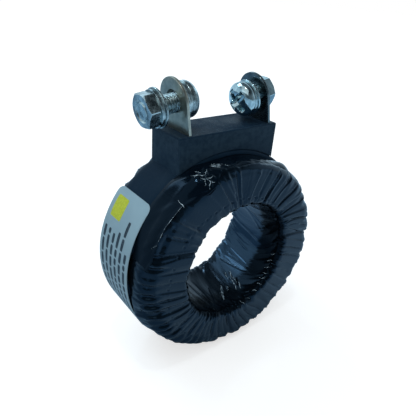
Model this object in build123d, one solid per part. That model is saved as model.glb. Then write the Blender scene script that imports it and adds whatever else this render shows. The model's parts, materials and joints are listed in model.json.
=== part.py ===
from build123d import *
import math
import os

# Window-type current transformer: a taped ring with a terminal block on its rim.
# The origin is the centre of the window. +Y is the window's axis, +Z goes up through the
# terminal block, and +X runs along the block from the left terminal to the right one.
# All sizes are in millimetres and all angles in degrees.

# Ring: the tape is wound by hand, so its outside is a little oval and its window is round.
WINDOW_R = 18.0
RING_WIDTH = 26.0
TAPE_OVAL = 1.2          # how far the long radius is over the mean one, and the short one under
TAPE_OVAL_ANGLE = -35.0  # direction of the long radius, from +X towards +Z
TAPE_WALL = 1.2
TAPE_SHOULDER_R = 4.5    # rounding where the faces meet the rim
TAPE_MOUTH_R = 3.0       # rounding where the faces meet the window

# Creases between the turns of tape, which are gathered round both faces.
TURN_COUNT = 42
CREASE_R = 1.8           # round bottom
FACE_CREASE_DEPTH = 0.4
SHOULDER_CREASE_DEPTH = 0.6
SHOULDER_CREASE_TILT = 35.0  # of a crease on the shoulder, from the face

# Layers under the tape, from the outside in.
FILM_WALL = 0.3
WINDING_WALL = 1.6
BOARD_WALL = 0.8         # pressboard round the core
CORE_BUILD = 5.5         # radial build of the wound core

# Strip of insulation round the rim, under the block and the label.
BAND_WALL = 0.8
BAND_MARGIN = 0.5        # how far the strip shows in front of and behind the block
BAND_START_ANGLE = 55.0  # right-hand end, from +X towards +Z
BAND_END_ANGLE = 213.0

# Blank label stuck on the strip.
LABEL_WALL = 0.2
LABEL_WIDTH = 15.8
LABEL_CORNER_R = 2.0
LABEL_Y = 2.1
LABEL_START_ANGLE = 139.5
LABEL_END_ANGLE = 209.5

# Terminal block: it sits a little off the ring's middle, as it was strapped down by hand.
BLOCK_LENGTH = 34.0
BLOCK_DEPTH = 13.2
BLOCK_RISE = 6.0         # from the ring's mean outside to the block's top
BLOCK_X = -1.3
BLOCK_Y = 1.6
BLOCK_EDGE_R = 0.5

# Terminal tabs: upright plates cast into the block, which lean towards -X.
TAB_WALL = 0.8
TAB_WIDTH = 11.8
TAB_HOLE_R = 2.9
TAB_HOLE_Z = 7.6         # height of the hole over the block, along the tab
TAB_FOOT = 4.5           # depth of the tab in the block
LEAD_R = 0.6             # secondary lead, from the winding to the tab's foot

# M5 hardware.
THREAD_R = 2.5
THREAD_DEPTH = 0.42
THREAD_PITCH = 0.8
HEAD_R = 4.75
HEAD_RIM = 1.3           # height of the straight part of the head
HEAD_HEIGHT = 3.3
HEAD_CROWN_R = 2.6       # radius of the nearly flat crown
HEAD_CROWN = 0.12        # height of the crown
RECESS_LENGTH = 4.6      # cross recess
RECESS_WIDTH = 1.1
RECESS_DEPTH = 2.2
NUT_FLATS = 8.0
NUT_HEIGHT = 3.0
NUT_CHAMFER = 0.35
WASHER_BORE_R = 2.65
FLAT_R = 5.0
FLAT_WALL = 0.6
SPRING_R = 4.7
SPRING_WALL = 1.0
SPRING_SLIT = 0.45
SPRING_SLANT_ANGLE = 24.0

# What differs between the two terminals. A tab's inset is from its end of the block, and gaps
# are to the tab, as the screws stand loose.
TERMINALS = {
    "left": dict(end=-1, inset=3.25, lean_angle=-8.5, screw_length=12.0, head_gap=0.5,
                 nut_gap=4.5, nut_washers=True, nut_angle=-5.0, slit_angle=225.0),
    "right": dict(end=1, inset=2.1, lean_angle=-12.0, screw_length=10.0, head_gap=1.9,
                  nut_gap=0.8, nut_washers=False, nut_angle=0.0, slit_angle=200.0),
}

# Worked out from the sizes above: the ring's mean outside radius and the block's top.
TAPE_R = WINDOW_R + CORE_BUILD + 2 * (TAPE_WALL + FILM_WALL + WINDING_WALL + BOARD_WALL) + TAPE_OVAL
BLOCK_TOP_Z = TAPE_R + BLOCK_RISE

EXTRA = 1.0              # how far a cutting body runs past the face that it opens


def slab(sketch, width, y=0.0):
    """Solid of a sketch drawn in the XZ plane, centred on y, as wide as given."""
    return Pos(0, y, 0) * extrude(Plane.XZ * sketch, width / 2, both=True)


def oval(offset):
    """Outline of the tape in the XZ plane, moved out by the given offset."""
    long_r = TAPE_R + TAPE_OVAL + offset
    short_r = TAPE_R - TAPE_OVAL + offset
    return Rot(Z=TAPE_OVAL_ANGLE) * Ellipse(long_r, short_r)


def wedge(start, end):
    """Sketch of the sector between two angles, which reaches past everything on the rim."""
    reach = 3 * TAPE_R
    count = math.ceil((end - start) / 45)
    angles = [math.radians(start + (end - start) * i / count) for i in range(count + 1)]
    corners = [(reach * math.cos(a), reach * math.sin(a)) for a in angles]
    return make_face(Polyline((0, 0), *corners, close=True))


def ring(outline, bore_r, width, shoulder_r, mouth_r):
    """Ring about the window's axis with rounded shoulders and a rounded mouth."""
    solid = slab(outline - Circle(bore_r), width)
    ends = solid.edges().group_by(Axis.Y)
    rims = ends[0] + ends[-1]
    solid = fillet(rims.sort_by(SortBy.LENGTH)[-2:], shoulder_r)
    mouths = [e for e in solid.edges().filter_by(GeomType.CIRCLE)
              if abs(e.radius - bore_r) < 0.001]
    return fillet(mouths, mouth_r)


def oval_r(angle):
    """Radius of the tape's outline in the given direction, from +X towards +Z."""
    turn = math.radians(angle - TAPE_OVAL_ANGLE)
    long_r, short_r = TAPE_R + TAPE_OVAL, TAPE_R - TAPE_OVAL
    return long_r * short_r / math.hypot(short_r * math.cos(turn), long_r * math.sin(turn))


def make_crease(angle):
    """Cutter for one crease: straight along the front face, then bent over the shoulder."""
    tilt = math.radians(SHOULDER_CREASE_TILT)
    face_y = FACE_CREASE_DEPTH - CREASE_R - RING_WIDTH / 2
    reach = TAPE_SHOULDER_R - SHOULDER_CREASE_DEPTH + CREASE_R
    middle_x = oval_r(angle) - TAPE_SHOULDER_R + reach * math.sin(tilt)
    middle_y = TAPE_SHOULDER_R - RING_WIDTH / 2 - reach * math.cos(tilt)
    start = (WINDOW_R - EXTRA, face_y)
    bend = (middle_x - (middle_y - face_y) / math.tan(tilt), face_y)
    end = (middle_x + 2 * TAPE_SHOULDER_R * math.cos(tilt),
           middle_y + 2 * TAPE_SHOULDER_R * math.sin(tilt))
    profile = Plane(origin=(*start, 0), z_dir=(1, 0, 0)) * Circle(CREASE_R)
    cutter = sweep(profile, path=Polyline(start, bend, end), transition=Transition.RIGHT)
    return Rot(Y=-angle) * cutter


def make_creases():
    front = [make_crease(360 * i / TURN_COUNT) for i in range(TURN_COUNT)]
    return front + [mirror(crease, Plane.XZ) for crease in front]


def plain_ring(outer_r, inner_r, width, y=0.0):
    return slab(Circle(outer_r) - Circle(inner_r), width, y)


class Layer:
    """One wrapped layer of the ring: its round outside and the rounding of its corners."""

    def __init__(self, outer_r, inner_r, width, shoulder_r, mouth_r):
        self.outer_r, self.inner_r, self.width = outer_r, inner_r, width
        self.shoulder_r, self.mouth_r = shoulder_r, mouth_r

    def inside(self, wall):
        return Layer(self.outer_r - wall, self.inner_r + wall, self.width - 2 * wall,
                     self.shoulder_r - wall, self.mouth_r - wall)

    def solid(self):
        return ring(Circle(self.outer_r), self.inner_r, self.width,
                    self.shoulder_r, self.mouth_r)


def make_ring_pieces(leads):
    """Tape, film, winding, board and core, as nested shells about the window."""
    tape = Layer(TAPE_R - TAPE_OVAL, WINDOW_R, RING_WIDTH, TAPE_SHOULDER_R, TAPE_MOUTH_R)
    film = tape.inside(TAPE_WALL)
    winding = film.inside(FILM_WALL)
    board_r = winding.outer_r - WINDING_WALL
    board_bore_r = winding.inner_r + WINDING_WALL
    board_width = winding.width - 2 * WINDING_WALL
    core_r = board_r - BOARD_WALL
    core_bore_r = board_bore_r + BOARD_WALL
    end_y = (board_width - BOARD_WALL) / 2

    wrapped = ring(oval(0), WINDOW_R, RING_WIDTH, TAPE_SHOULDER_R, TAPE_MOUTH_R) - make_creases()
    return {
        "outer_tape_wrap": wrapped - film.solid() - leads,
        "film_wrap": film.solid() - winding.solid() - leads,
        "secondary_winding": winding.solid() - plain_ring(board_r, board_bore_r, board_width),
        "core_outer_sleeve": plain_ring(board_r, core_r, board_width),
        "core_inner_sleeve": plain_ring(core_bore_r, board_bore_r, board_width),
        "core_front_ring": plain_ring(core_r, core_bore_r, BOARD_WALL, -end_y),
        "core_back_ring": plain_ring(core_r, core_bore_r, BOARD_WALL, end_y),
        "wound_core": plain_ring(core_r, core_bore_r, board_width - 2 * BOARD_WALL),
    }, winding


def make_band(leads):
    outline = (oval(BAND_WALL) - oval(0)) & wedge(BAND_START_ANGLE, BAND_END_ANGLE)
    return slab(outline, BLOCK_DEPTH + 2 * BAND_MARGIN, BLOCK_Y) - leads


def make_label():
    """Sticker bent round the strip, with rounded corners."""
    outline = (oval(BAND_WALL + LABEL_WALL) - oval(BAND_WALL)) & wedge(
        LABEL_START_ANGLE, LABEL_END_ANGLE)
    label = slab(outline, LABEL_WIDTH, LABEL_Y)
    corners = [e for e in label.edges().filter_by(GeomType.LINE) if e.length < 2 * LABEL_WALL]
    return fillet(corners, LABEL_CORNER_R)


def make_block(inserts):
    """Block with a saddle that fits the strip, cast round the tabs and the leads."""
    height = BLOCK_TOP_Z
    body = Pos(BLOCK_X, BLOCK_Y, height / 2) * Box(BLOCK_LENGTH, BLOCK_DEPTH, height)
    body -= slab(oval(BAND_WALL), BLOCK_DEPTH + 2 * EXTRA, BLOCK_Y)
    body = body.solids().sort_by(Axis.Z)[-1]
    top = body.edges().group_by(Axis.Z)[-1]
    corners = body.edges().filter_by(Axis.Z)
    return fillet(top + corners, BLOCK_EDGE_R) - inserts


def foot_x(side):
    """Where the tab's outer face leaves the top of the block."""
    spec = TERMINALS[side]
    return BLOCK_X + spec["end"] * (BLOCK_LENGTH / 2 - spec["inset"])


def terminal_frame(side):
    """Frame of one terminal: x = 0 is the tab's outer face, +x points to the screw's head."""
    spec = TERMINALS[side]
    turn = 90 + 90 * spec["end"]
    return Pos(foot_x(side), BLOCK_Y, BLOCK_TOP_Z) * Rot(Y=spec["lean_angle"]) * Rot(Z=turn)


def make_tab(side):
    """Upright plate with a full-radius top, cut level at its foot inside the block."""
    half = TAB_WIDTH / 2
    below = 2 * TAB_FOOT
    face = Pos(0, (TAB_HOLE_Z - below) / 2) * Rectangle(TAB_WIDTH, TAB_HOLE_Z + below)
    face += Pos(0, TAB_HOLE_Z) * Circle(half)
    face -= Pos(0, TAB_HOLE_Z) * Circle(TAB_HOLE_R)
    tab = terminal_frame(side) * extrude(Plane.YZ * face, TAB_WALL)
    under = Pos(0, 0, BLOCK_TOP_Z - TAB_FOOT) * Box(
        6 * BLOCK_LENGTH, 2 * BLOCK_DEPTH, 4 * TAB_FOOT, align=(Align.CENTER, Align.CENTER, Align.MAX))
    return tab - under


def lead_x(side):
    """Middle of the tab's foot, where the lead is soldered on."""
    spec = TERMINALS[side]
    lean = math.radians(spec["lean_angle"])
    return foot_x(side) - spec["end"] * TAB_WALL / 2 / math.cos(lean) - TAB_FOOT * math.tan(lean)


def make_lead_post(side):
    """Lead as a straight round wire, from the window's height up to the tab's foot."""
    wire = Cylinder(LEAD_R, BLOCK_TOP_Z - TAB_FOOT, align=(Align.CENTER, Align.CENTER, Align.MIN))
    return Pos(lead_x(side), BLOCK_Y, 0) * wire


def shaft(profile, x, z):
    """Solid turned about the screw's axis from a profile of (x, radius) points."""
    face = make_face(Plane.XZ * Polyline(*[(px, pr) for px, pr in profile], close=True))
    return Pos(x, 0, z) * revolve(face, Axis.X)


def make_screw(length):
    """Pan head screw whose underside is at x = 0, with its thread along -x."""
    crest = THREAD_PITCH / 8
    root = THREAD_R - THREAD_DEPTH
    flank = (THREAD_PITCH - 2 * crest) / 2
    points = [(HEAD_HEIGHT, 0), (0, 0), (0, THREAD_R)]
    turns = math.floor(length / THREAD_PITCH - 0.5)
    for i in range(turns):
        start = -crest - i * THREAD_PITCH
        points += [(start, THREAD_R), (start - flank, root),
                   (start - flank - crest, root), (start - THREAD_PITCH + crest, THREAD_R)]
    points += [(-length + THREAD_DEPTH, THREAD_R), (-length, root), (-length, 0)]
    shank = shaft([(0, 0)] + points[2:], 0, 0)

    shoulder = (HEAD_RIM, HEAD_R)
    crown = (HEAD_HEIGHT - HEAD_CROWN, HEAD_CROWN_R)
    outline = [
        Line((HEAD_HEIGHT, 0), (0, 0)),
        Line((0, 0), (0, HEAD_R)),
        Line((0, HEAD_R), shoulder),
        TangentArc(shoulder, crown, tangent=(1, 0)),
        Line(crown, (HEAD_HEIGHT, 0)),
    ]
    head = revolve(make_face(Plane.XZ * Wire(outline)), Axis.X)
    top = Plane(origin=(HEAD_HEIGHT + EXTRA, 0, 0), x_dir=(0, 1, 0), z_dir=(1, 0, 0))
    deep = Plane(origin=(HEAD_HEIGHT - RECESS_DEPTH, 0, 0), x_dir=(0, 1, 0), z_dir=(1, 0, 0))
    slope = (RECESS_DEPTH + EXTRA) / RECESS_DEPTH
    for turn in (45, 135):
        wide = Rot(Z=turn) * Rectangle(RECESS_LENGTH * slope, RECESS_WIDTH * slope)
        narrow = Rot(Z=turn) * Rectangle(RECESS_LENGTH / 4, RECESS_WIDTH / 3)
        head -= loft([top * wide, deep * narrow])
    return head + shank


def make_nut(angle):
    """Hexagon nut with chamfered corners on both faces, from x = 0 to -NUT_HEIGHT."""
    corner_r = NUT_FLATS / 2 / math.cos(math.radians(30))
    hexagon = Rot(Z=angle) * RegularPolygon(corner_r, 6)
    body = extrude(Plane.YZ * hexagon, -NUT_HEIGHT)
    bevel = NUT_CHAMFER / math.tan(math.radians(30))
    turned = shaft([(0, 0), (0, corner_r - bevel), (-NUT_CHAMFER, corner_r),
                    (-NUT_HEIGHT + NUT_CHAMFER, corner_r), (-NUT_HEIGHT, corner_r - bevel),
                    (-NUT_HEIGHT, 0)], 0, 0)
    bore = shaft([(0, 0), (0, THREAD_R + NUT_CHAMFER), (-NUT_CHAMFER, THREAD_R),
                  (-NUT_HEIGHT + NUT_CHAMFER, THREAD_R), (-NUT_HEIGHT, THREAD_R + NUT_CHAMFER),
                  (-NUT_HEIGHT, 0)], 0, 0)
    return (body & turned) - bore


def make_flat_washer():
    """Washer from x = 0 to FLAT_WALL."""
    return extrude(Plane.YZ * (Circle(FLAT_R) - Circle(WASHER_BORE_R)), FLAT_WALL)


def make_spring_washer(slit_angle):
    """Split washer from x = 0 to SPRING_WALL, with its slanted slit turned as given."""
    body = extrude(Plane.YZ * (Circle(SPRING_R) - Circle(WASHER_BORE_R)), SPRING_WALL)
    slit = Pos(SPRING_WALL / 2, (SPRING_R + WASHER_BORE_R) / 2, 0) * Rot(Y=SPRING_SLANT_ANGLE) * Box(
        4 * SPRING_WALL, SPRING_R, SPRING_SLIT)
    return body - Rot(X=slit_angle) * slit


def make_fasteners(side):
    """Screw, nut and washers of one terminal, in the order in which they are threaded."""
    spec = TERMINALS[side]
    axis_z = TAB_HOLE_Z - (TAB_HOLE_R - THREAD_R)   # the loose screw lies in its hole
    washer_z = axis_z - (WASHER_BORE_R - THREAD_R)  # and the loose washers hang on it
    frame = terminal_frame(side)
    spring = make_spring_washer(spec["slit_angle"])

    flat_x = TAB_WALL + spec["head_gap"]
    spring_x = flat_x + FLAT_WALL
    head_x = spring_x + SPRING_WALL
    pieces = {
        side + "_head_flat_washer": Pos(flat_x, 0, washer_z) * make_flat_washer(),
        side + "_head_spring_washer": Pos(spring_x, 0, washer_z) * spring,
        side + "_screw": Pos(head_x, 0, axis_z) * make_screw(spec["screw_length"]),
    }
    nut_x = -spec["nut_gap"]
    if spec["nut_washers"]:
        flat_x = nut_x - FLAT_WALL
        spring_x = flat_x - SPRING_WALL
        nut_x = spring_x
        pieces[side + "_nut_flat_washer"] = Pos(flat_x, 0, washer_z) * make_flat_washer()
        pieces[side + "_nut_spring_washer"] = Pos(spring_x, 0, washer_z) * spring
    pieces[side + "_nut"] = Pos(nut_x, 0, axis_z) * make_nut(spec["nut_angle"])
    return {name: frame * piece for name, piece in pieces.items()}


def make_parts():
    posts = {side: make_lead_post(side) for side in TERMINALS}
    leads = list(posts.values())
    parts, winding = make_ring_pieces(leads)
    inside = slab(Circle(winding.outer_r), RING_WIDTH)
    for side, post in posts.items():
        parts[side + "_lead"] = post - inside
        parts[side + "_tab"] = make_tab(side)
        parts.update(make_fasteners(side))
    parts["rim_band"] = make_band(leads)
    parts["blank_label"] = make_label()
    parts["terminal_block"] = make_block(leads + [parts["left_tab"], parts["right_tab"]])
    return parts


os.makedirs("parts", exist_ok=True)
for name, shape in make_parts().items():
    export_step(shape, f"parts/{name}.step")
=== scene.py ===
import json
import math

import bpy
import numpy as np
from mathutils import Matrix, Vector


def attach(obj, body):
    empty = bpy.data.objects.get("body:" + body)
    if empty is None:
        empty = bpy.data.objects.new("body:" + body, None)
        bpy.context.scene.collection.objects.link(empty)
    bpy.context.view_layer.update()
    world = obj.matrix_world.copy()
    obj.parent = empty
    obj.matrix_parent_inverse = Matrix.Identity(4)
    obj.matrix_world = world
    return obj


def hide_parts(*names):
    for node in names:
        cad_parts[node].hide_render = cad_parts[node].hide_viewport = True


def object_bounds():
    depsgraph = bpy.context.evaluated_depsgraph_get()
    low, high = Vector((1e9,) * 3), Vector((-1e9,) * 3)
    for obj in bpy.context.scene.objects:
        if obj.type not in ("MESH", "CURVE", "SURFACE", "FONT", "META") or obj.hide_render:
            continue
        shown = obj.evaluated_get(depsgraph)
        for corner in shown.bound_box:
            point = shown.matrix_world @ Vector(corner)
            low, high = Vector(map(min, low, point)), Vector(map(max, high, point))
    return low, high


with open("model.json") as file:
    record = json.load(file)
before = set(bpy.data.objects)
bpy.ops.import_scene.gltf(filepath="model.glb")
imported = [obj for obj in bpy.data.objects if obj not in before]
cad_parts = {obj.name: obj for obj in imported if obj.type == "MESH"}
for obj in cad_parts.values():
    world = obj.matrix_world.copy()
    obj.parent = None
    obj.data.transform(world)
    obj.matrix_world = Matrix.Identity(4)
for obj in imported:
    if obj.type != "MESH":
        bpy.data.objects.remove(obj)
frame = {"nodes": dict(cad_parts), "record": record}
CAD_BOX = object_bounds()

# Window-type current transformer, dressed for looks: a ring wrapped by hand in black tape,
# a strip and a sticker on its rim, and a block with two screw terminals on top.
# Sizes below are in millimetres and angles in degrees, in the part's own frame: the origin is
# the centre of the window, +Y is the window's axis and +Z goes up through the block.
MM = 0.001
BODY = "root"


# ---------------------------------------------------------------- node helpers

def set_input(tree, socket, value):
    """Joins the input to another node's output, or sets it. Colours may leave their alpha out."""
    if isinstance(value, bpy.types.NodeSocket):
        tree.links.new(value, socket)
    elif socket.type == "RGBA" and len(value) == 3:
        socket.default_value = (*value, 1)
    else:
        socket.default_value = value


def add(tree, kind, values=None, **settings):
    """New node with its settings and its inputs."""
    node = tree.nodes.new(kind)
    for name, value in settings.items():
        setattr(node, name, value)
    for name, value in (values or {}).items():
        set_input(tree, node.inputs[name], value)
    return node


def calc(tree, operation, *values, clamp=False):
    return add(tree, "ShaderNodeMath", dict(enumerate(values)), operation=operation,
               use_clamp=clamp).outputs[0]


def times(tree, a, b):
    return calc(tree, "MULTIPLY", a, b)


def maximum(tree, a, b):
    return calc(tree, "MAXIMUM", a, b)


def vector_calc(tree, operation, *values):
    """Vector result of an operation, or its value where it gives one."""
    node = add(tree, "ShaderNodeVectorMath", dict(enumerate(values)), operation=operation)
    return node.outputs["Value" if operation in ("LENGTH", "DOT_PRODUCT") else "Vector"]


def split(tree, vector):
    """The x, y and z of a vector."""
    return add(tree, "ShaderNodeSeparateXYZ", {0: vector}).outputs


def mix_value(tree, factor, a, b):
    return add(tree, "ShaderNodeMix", {0: factor, 2: a, 3: b}, data_type="FLOAT").outputs[0]


def mix_color(tree, factor, a, b):
    return add(tree, "ShaderNodeMix", {0: factor, 6: a, 7: b}, data_type="RGBA").outputs[2]


def remap(tree, value, low, high, to_low=0.0, to_high=1.0):
    return add(tree, "ShaderNodeMapRange",
               {0: value, 1: low, 2: high, 3: to_low, 4: to_high}).outputs[0]


def ray_masks(tree):
    """Whether a ray comes from the camera, and whether a surface mirrored it or let it through."""
    ray = add(tree, "ShaderNodeLightPath").outputs
    return ray["Is Camera Ray"], maximum(tree, ray["Is Glossy Ray"], ray["Is Transmission Ray"])


# ---------------------------------------------------------------- shared surface effects

PER_MM = 1000.0   # object coordinates are in metres


def new_group(name, values, results):
    """Shader node group: its tree, its inputs by label, and its end node."""
    tree = bpy.data.node_groups.new(name, "ShaderNodeTree")
    tree.interface.new_socket("Vector", in_out="INPUT", socket_type="NodeSocketVector")
    for label, value in values.items():
        kind = "NodeSocketColor" if isinstance(value, tuple) else "NodeSocketFloat"
        tree.interface.new_socket(label, in_out="INPUT", socket_type=kind).default_value = value
    for label in results:
        kind = "NodeSocketColor" if label == "Color" else "NodeSocketFloat"
        tree.interface.new_socket(label, in_out="OUTPUT", socket_type=kind)
    return tree, tree.nodes.new("NodeGroupInput").outputs, tree.nodes.new("NodeGroupOutput")


def noise(tree, vector, scale, **settings):
    values = {"Vector": vector, "Scale": scale}
    values.update((name.capitalize(), value) for name, value in settings.items())
    return add(tree, "ShaderNodeTexNoise", values).outputs[0]


def make_grain_group():
    """Fine even grain: a height for bump."""
    tree, given, result = new_group("fine_grain", {"Grains per mm": 4.0}, ["Height"])
    scale = times(tree, given["Grains per mm"], PER_MM)
    height = noise(tree, given["Vector"], scale, detail=3.0, roughness=0.6)
    set_input(tree, result.inputs["Height"], height)
    return tree


def make_mottle_group():
    """Soft patches of two colours."""
    tree, given, result = new_group("mottle", {
        "Patches per mm": 0.3, "Contrast": 0.5, "Dark": (0, 0, 0, 1), "Light": (1, 1, 1, 1),
    }, ["Color", "Mask"])
    scale = times(tree, given["Patches per mm"], PER_MM)
    patches = noise(tree, given["Vector"], scale, detail=4.0, roughness=0.55, distortion=0.4)
    spread = calc(tree, "SUBTRACT", patches, 0.5)
    gain = calc(tree, "MULTIPLY_ADD", given["Contrast"], 6.0, 0.5)
    mask = calc(tree, "MULTIPLY_ADD", spread, gain, 0.5, clamp=True)
    set_input(tree, result.inputs["Mask"], mask)
    color = mix_color(tree, mask, given["Dark"], given["Light"])
    set_input(tree, result.inputs["Color"], color)
    return tree


def make_streak_group():
    """Streaks that run along the y of the given coordinates, in millimetres."""
    tree, given, result = new_group("streaks", {
        "Across per mm": 3.0, "Along per mm": 0.2, "Waviness": 0.3}, ["Height", "Mask"])
    parts = split(tree, given["Vector"])
    scales = (given["Across per mm"], given["Along per mm"], given["Across per mm"])
    stretched = add(tree, "ShaderNodeCombineXYZ",
                    {axis: times(tree, parts[axis], scales[axis]) for axis in range(3)})
    height = noise(tree, stretched.outputs[0], 1.0, detail=4.0, roughness=0.6,
                   distortion=given["Waviness"])
    set_input(tree, result.inputs["Height"], height)
    set_input(tree, result.inputs["Mask"], remap(tree, height, 0.4, 0.65))
    return tree


def make_edge_group():
    """Mask of the sharp outer edges and ridges, broken up by noise; with From above To, of the
    creases. It serves rubbed wear, and on the tape a painted highlight and painted shade.
    """
    tree, given, result = new_group("edge_wear_and_painted_light", {"From": 0.52, "To": 0.62}, ["Mask"])
    pointed = add(tree, "ShaderNodeNewGeometry").outputs["Pointiness"]
    edge = remap(tree, pointed, given["From"], given["To"])
    patchy = remap(tree, noise(tree, given["Vector"], 0.9 * PER_MM, detail=3.0), 0.3, 0.6, 0.35, 1.0)
    set_input(tree, result.inputs["Mask"], times(tree, edge, patchy))
    return tree


def make_dust_group():
    """Light dust on what faces up, in soft specks."""
    tree, given, result = new_group("dust", {"Amount": 0.2}, ["Mask"])
    up = split(tree, add(tree, "ShaderNodeNewGeometry").outputs["Normal"])[2]
    facing = remap(tree, up, 0.2, 1.0)
    specks = remap(tree, noise(tree, given["Vector"], 0.7 * PER_MM, detail=6.0, roughness=0.7),
                   0.5, 0.75)
    set_input(tree, result.inputs["Mask"], times(tree, times(tree, facing, specks), given["Amount"]))
    return tree


GROUPS = {"grain": make_grain_group(), "mottle": make_mottle_group(),
          "streaks": make_streak_group(), "edges": make_edge_group(), "dust": make_dust_group()}


# ---------------------------------------------------------------- materials

SHADER_INPUTS = {"color": "Base Color", "roughness": "Roughness", "metallic": "Metallic",
                 "specular": "Specular IOR Level", "tint": "Specular Tint",
                 "glow": "Emission Strength", "glow_color": "Emission Color"}


class Finish:
    """A new material, filled in by giving its shader values and effects."""

    def __init__(self, name):
        self.material = bpy.data.materials.new(name)
        self.material.use_nodes = True
        self.tree = self.material.node_tree
        self.tree.nodes.clear()
        self.shader = add(self.tree, "ShaderNodeBsdfPrincipled")
        add(self.tree, "ShaderNodeOutputMaterial", {"Surface": self.shader.outputs[0]})
        self.vector = add(self.tree, "ShaderNodeTexCoord").outputs["Object"]

    def effect(self, group, vector=None, **values):
        """Results of a shared effect, laid in object coordinates unless others are given."""
        node = add(self.tree, "ShaderNodeGroup", node_tree=GROUPS[group])
        set_input(self.tree, node.inputs["Vector"], vector or self.vector)
        for name, value in values.items():
            set_input(self.tree, node.inputs[name.replace("_", " ")], value)
        return node.outputs

    def between(self, mask, low, high):
        return remap(self.tree, mask, 0, 1, low, high)

    def give(self, bumps=(), **values):
        """Fills the shader in; bumps are layers of (height, strength, distance in mm)."""
        for name, value in values.items():
            set_input(self.tree, self.shader.inputs[SHADER_INPUTS[name]], value)
        layer = {}
        for height, strength, distance in bumps:
            layer.update(Height=height, Strength=strength, Distance=distance * MM)
            layer["Normal"] = add(self.tree, "ShaderNodeBump", layer).outputs[0]
        if layer:
            set_input(self.tree, self.shader.inputs["Normal"], layer["Normal"])
        return self.material


SHEET_MAP_R = 30.0             # turns angles round the sheet into millimetres on its surface
TAPE_TINT = (0.34, 0.64, 1.0)
VINYL_TINT = (0.4, 0.72, 1.0)
# Ridge colour: rubbed wear and a painted highlight. Crease colour: painted shade.
RUBBED_AND_HIGHLIGHT_TAPE = (0.02, 0.05, 0.09)
CREASE_PAINTED_SHADE = (0.001, 0.003, 0.006)
SATIN_TAPE = (0.003, 0.0065, 0.011)
WALL_PAINTED_SHADE = (0.0012, 0.0026, 0.0042)

# Painted shade: the front part of the window's wall is darkened in colour and given less shine.
WINDOW_MASK_R = (19.6, 19.0)   # inside these radii the wrap counts as the window's wall
PAINTED_SHADE_DEPTH = (-2.0, -3.6)      # along the window's axis, where painted shade begins to darken and dull the wall
PAINTED_SHADE_RAGGED = 1.6              # how far that edge wanders
POLISHED_Z = (-15.4, -13.2)    # above these heights the wall is glossier than below
WALL_SHINE = (0.26, 0.9)
PAINTED_SHADE_SHINE = 0.1


def window_masks(tree, vector, ragged):
    """The window's wall, and its front part up to a ragged edge, darkened and dulled as painted shade,
    with the wall's shine.
    """
    place = split(tree, vector)
    off_axis = vector_calc(tree, "LENGTH", vector_calc(tree, "MULTIPLY", vector, (1, 0, 1)))
    wall = remap(tree, off_axis, *(value * MM for value in WINDOW_MASK_R))
    depth = calc(tree, "ADD", place[1], times(tree, ragged, PAINTED_SHADE_RAGGED * MM))
    painted_shade = times(tree, wall, remap(tree, depth, *(value * MM for value in PAINTED_SHADE_DEPTH)))
    shine = remap(tree, place[2], *(value * MM for value in POLISHED_Z), *WALL_SHINE)
    return wall, painted_shade, shine


def tape_material(name, dark, light, roughness, wrinkle, shine, satin_from=None):
    """Black insulating tape: painted shade darkens its creases, and its ridges and edges are paler,
    partly rubbed and partly a painted highlight.

    Between the two angles of satin_from it turns from glossy to satin. Without them it is the
    wrap's tape, whose shine differs inside the window, and whose wall there is darkened and
    dulled towards the front as painted shade.
    """
    finish = Finish(name)
    tree = finish.tree
    surface = add(tree, "ShaderNodeUVMap", uv_map="surface").outputs[0]
    mottle = finish.effect("mottle", Patches_per_mm=0.22, Contrast=0.6, Dark=dark, Light=light)
    streaks = finish.effect("streaks", surface, Across_per_mm=1.2, Along_per_mm=0.16,
                            Waviness=0.35)
    fine = finish.effect("grain", Grains_per_mm=3.0)
    # Paler ridges: rubbed wear and a painted highlight. Darker creases: painted shade.
    ridge_wear_and_highlight = finish.effect("edges", From=0.53, To=0.62)
    creases = finish.effect("edges", From=0.485, To=0.42)
    color = mix_color(tree, times(tree, ridge_wear_and_highlight["Mask"], 0.3), mottle["Color"], RUBBED_AND_HIGHLIGHT_TAPE)
    color = mix_color(tree, times(tree, creases["Mask"], 0.85), color, CREASE_PAINTED_SHADE)
    rough = mix_value(tree, streaks["Mask"], *roughness)
    if satin_from:
        ends = (math.radians(angle) * SHEET_MAP_R for angle in satin_from)
        satin = remap(tree, split(tree, surface)[0], *ends)
        rough = calc(tree, "ADD", rough, times(tree, satin, 0.3))
        color = mix_color(tree, satin, color, SATIN_TAPE)
    else:
        # Painted shade: the wall's front part is darker and less shiny.
        wall, painted_shade, wall_shine = window_masks(tree, finish.vector, streaks["Mask"])
        color = mix_color(tree, painted_shade, color, WALL_PAINTED_SHADE)
        shine = mix_value(tree, painted_shade, mix_value(tree, wall, shine, wall_shine), PAINTED_SHADE_SHINE)
    return finish.give(color=color, roughness=rough, specular=shine, tint=TAPE_TINT,
                       bumps=[(streaks["Height"], wrinkle, 0.12), (fine["Height"], 0.08, 0.03)])


def mottled_material(name, dark, light, patches, contrast, roughness, shine):
    """Plain finish in patches: tape made pale as painted glints, or printed ink that is a little worn.
    """
    finish = Finish(name)
    mottle = finish.effect("mottle", Patches_per_mm=patches, Contrast=contrast, Dark=dark,
                           Light=light)
    return finish.give(color=mottle["Color"], specular=shine,
                       roughness=finish.between(mottle["Mask"], *roughness))


def strip_material():
    """Matt vinyl with a little dust on it."""
    finish = Finish("band_vinyl")
    mottle = finish.effect("mottle", Patches_per_mm=0.15, Contrast=0.5,
                           Dark=(0.004, 0.0125, 0.025), Light=(0.005, 0.015, 0.03))
    grain = finish.effect("grain", Grains_per_mm=5.0)
    dust = finish.effect("dust", Amount=0.06)
    color = mix_color(finish.tree, dust["Mask"], mottle["Color"], (0.1, 0.12, 0.14))
    return finish.give(color=color, roughness=finish.between(mottle["Mask"], 0.5, 0.6),
                       specular=0.09, tint=VINYL_TINT, bumps=[(grain["Height"], 0.2, 0.04)])


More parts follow.
